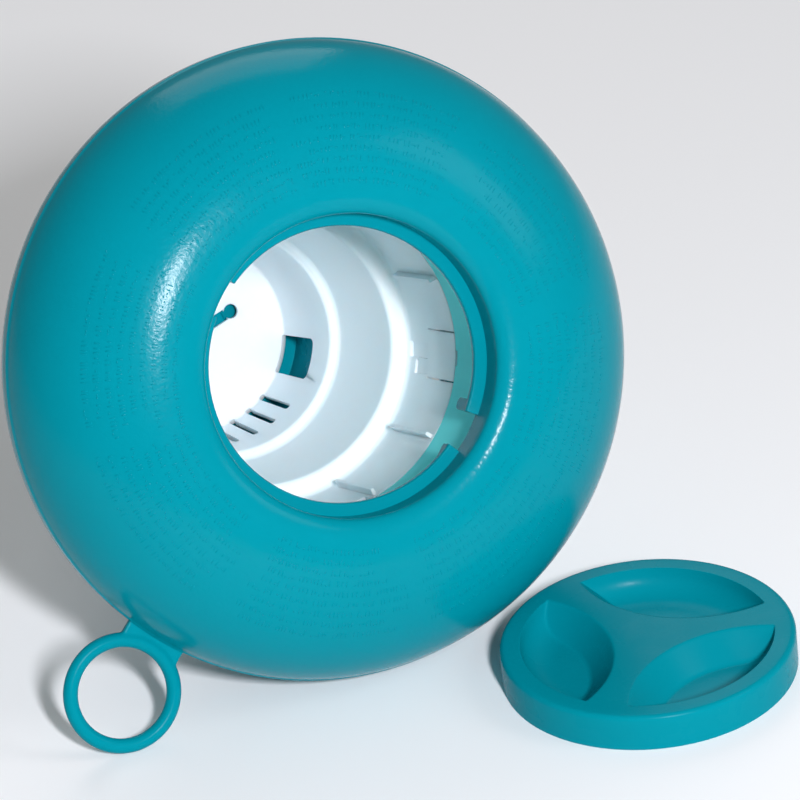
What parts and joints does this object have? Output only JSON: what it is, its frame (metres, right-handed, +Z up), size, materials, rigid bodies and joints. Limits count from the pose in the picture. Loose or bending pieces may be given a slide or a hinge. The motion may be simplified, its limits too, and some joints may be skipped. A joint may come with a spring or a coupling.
{
  "type": "floating chlorine dispenser",
  "caption": "Ring float with a vented tablet basket, a turning flow adjuster, a tether ring and a separate lid with finger recesses, lying on its side.",
  "frame": {"origin": "on the table, under the middle of the whole object's box", "axes": "+Z up from the table that the float lies on, +Y back along the float's axis as seen from above, away from its mouth and towards the flow adjuster, +X right"},
  "size_m": [0.2112, 0.2644, 0.1798],
  "materials": {
    "teal_shell": "smooth glossy blow-moulded plastic",
    "teal_trim": "glossy injection-moulded plastic",
    "teal_lid": "satin-gloss injection-moulded plastic",
    "white_basket": "smooth satin plastic"
  },
  "bodies": {
    "float": {"upper_float_shell": "teal_shell", "lower_float_shell": "teal_shell", "tether_ring": "teal_trim", "basket": "white_basket"},
    "adjuster": {"flow_adjuster": "teal_trim"},
    "lid": {"lid": "teal_lid"}
  },
  "joints": [
    {"name": "adjuster_turn", "type": "hinge", "parent": "float", "child": "adjuster", "pos_m": [-0.00559, 0.11767, 0.03532], "axis": [0, -0.9246, 0.381], "range_deg": [0, 36]},
    {"name": "lid_turn", "type": "hinge", "parent": "float", "child": "lid", "pos_m": [0.06163, -0.08827, 0], "axis": [0, 0, 1], "range_deg": [0, 45]}
  ]
}
